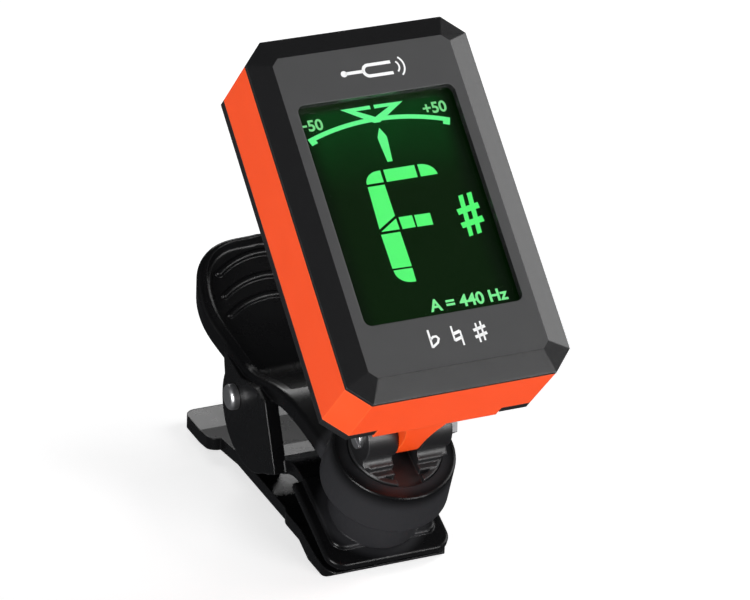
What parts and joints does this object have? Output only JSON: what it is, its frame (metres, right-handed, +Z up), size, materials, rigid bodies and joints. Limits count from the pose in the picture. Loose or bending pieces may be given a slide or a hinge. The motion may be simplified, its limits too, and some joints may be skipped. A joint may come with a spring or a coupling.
{
  "type": "clip-on instrument tuner",
  "caption": "Clip-on chromatic tuner: an upright lit display on a tilt and swivel hinge, on a sprung clip with padded jaws for a headstock.",
  "frame": {"origin": "under the middle of the whole tuner, on the surface that the clip rests on", "axes": "+X to the right of someone who reads the display, +Y from the jaws towards the finger paddles, +Z up"},
  "size_m": [0.03, 0.0652, 0.0681],
  "materials": {
    "black_clip": "satin black moulded plastic",
    "black_case": "fine matte texture",
    "pad_rubber": "soft matte rubber",
    "bright_steel": "bright plated steel",
    "spring_steel": "nickel-plated wire and strip",
    "orange_plastic": "satin orange moulded plastic",
    "bezel_plastic": "satin dark grey plastic",
    "clear_plastic": "polished clear plate",
    "black_foam": "foam",
    "inner_plastic": "white moulded plastic",
    "display_glass": "dark glass with lit green segments",
    "light_guide": "milky acrylic",
    "board_green": "solder mask",
    "chip_black": "moulded black plastic",
    "brass": "thin brass sheet",
    "cell_steel": "nickel-plated can",
    "button_rubber": "matte rubber",
    "dark_screw": "black zinc-plated steel"
  },
  "bodies": {
    "lower_lever": {"lower_arm": "black_clip", "lower_jaw_pad": "pad_rubber", "pivot_pin": "bright_steel", "torsion_spring": "spring_steel"},
    "upper_lever": {"upper_arm": "black_clip", "upper_jaw_pad": "pad_rubber", "friction_ring": "pad_rubber"},
    "swivel": {"swivel_turntable": "black_clip", "swivel_washer": "spring_steel", "swivel_screw": "bright_steel", "tilt_screw": "bright_steel", "tilt_nut": "bright_steel"},
    "battery_door": {"battery_door": "black_case"},
    "power_button": {"power_button": "button_rubber"},
    "head": {"front_bezel": "bezel_plastic", "display_window": "clear_plastic", "display_gasket": "black_foam", "lcd_panel": "display_glass", "display_frame": "inner_plastic", "backlight_panel": "light_guide", "backlight_leds": "inner_plastic", "zebra_strip": "pad_rubber", "circuit_board": "board_green", "controller_chip": "chip_black", "timing_crystal": "spring_steel", "power_switch": "chip_black", "piezo_pickup": "brass", "cell_holder": "chip_black", "coin_cell": "cell_steel", "cell_contact_positive": "spring_steel", "cell_contact_negative": "spring_steel", "mid_housing": "orange_plastic", "back_cover": "black_case", "case_screws": "dark_screw"}
  },
  "joints": [
    {"name": "clip_open", "type": "hinge", "parent": "lower_lever", "child": "upper_lever", "pos_m": [0, 0.01708, 0.0117], "axis": [-1, 0, 0], "range_deg": [0, 35], "stiffness_Nm_per_rad": 0.2, "springref_deg": -57.3, "deforming": ["torsion_spring"]},
    {"name": "swivel_turn", "type": "hinge", "parent": "upper_lever", "child": "swivel", "pos_m": [0, -0.01352, 0.0178], "axis": [0, -0.4099, 0.9121], "continuous": true},
    {"name": "head_tilt", "type": "hinge", "parent": "swivel", "child": "head", "pos_m": [0, -0.01512, 0.02136], "axis": [1, 0, 0], "range_deg": [-45, 60]},
    {"name": "door_turn", "type": "hinge", "parent": "head", "child": "battery_door", "pos_m": [0, 0.00102, 0.04984], "axis": [0, -0.6587, 0.7524], "range_deg": [0, 45]},
    {"name": "button_press", "type": "slide", "parent": "head", "child": "power_button", "axis": [0, -0.6587, 0.7524], "range_m": [0, 0.0003], "stiffness_N_per_m": 150, "springref_m": -0.002}
  ]
}
